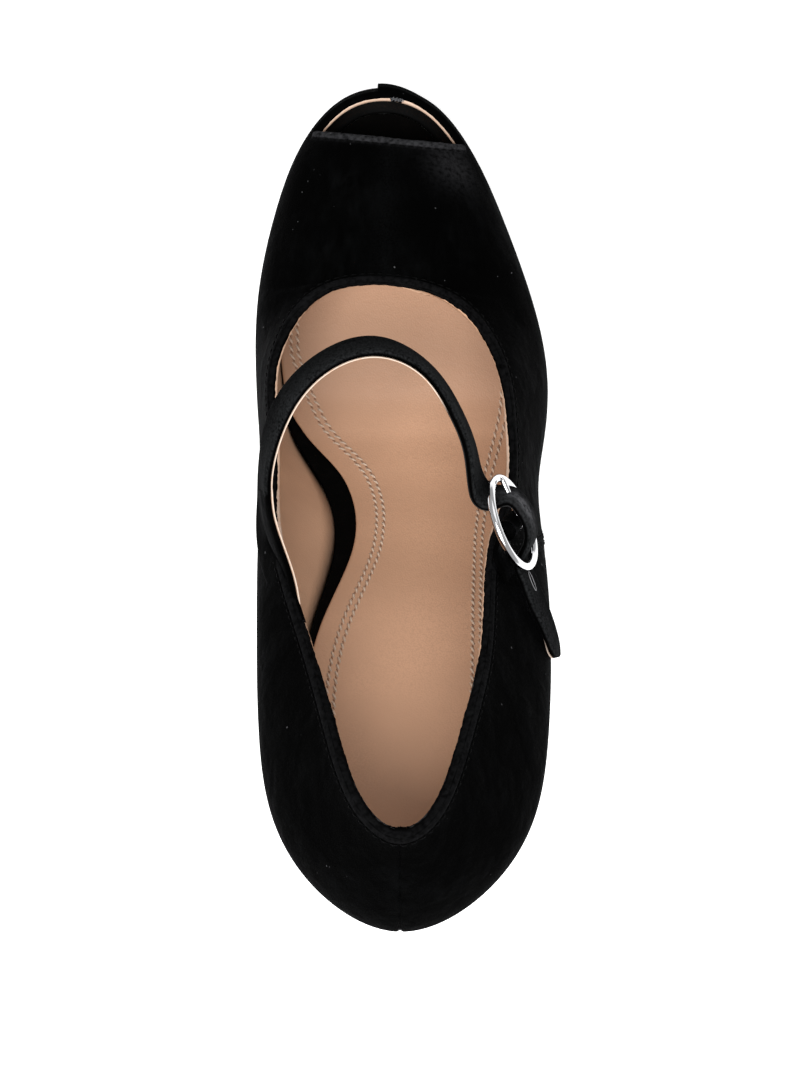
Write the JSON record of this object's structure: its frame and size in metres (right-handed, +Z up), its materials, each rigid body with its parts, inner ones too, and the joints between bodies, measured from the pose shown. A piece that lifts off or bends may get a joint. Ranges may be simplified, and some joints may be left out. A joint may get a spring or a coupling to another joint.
{
  "type": "peep toe high heel pump",
  "caption": "Right-foot velvet pump with an open toe tip, a buckled instep strap, a tan leather sock and a high block heel.",
  "frame": {"origin": "on the floor under the ball of the foot, on the flat tread of the outsole", "axes": "+Y towards the toe, +X towards the outer side of the right foot, +Z up"},
  "size_m": [0.0793, 0.2143, 0.136],
  "materials": {
    "velvet": "short-pile black velvet with a grey sheen at grazing angles",
    "black_leather": "smooth black leather",
    "tan_leather": "matt pale tan leather with fine grain",
    "black_rubber": "matt black rubber",
    "polished_metal": "polished silver metal"
  },
  "bodies": {
    "root": {"upper": "velvet", "strap": "velvet", "buckle_tab": "velvet", "heel": "velvet", "insole": "black_leather", "outsole": "black_leather", "sock": "tan_leather", "top_lift": "black_rubber", "buckle": "polished_metal", "prong": "polished_metal"}
  },
  "joints": []
}
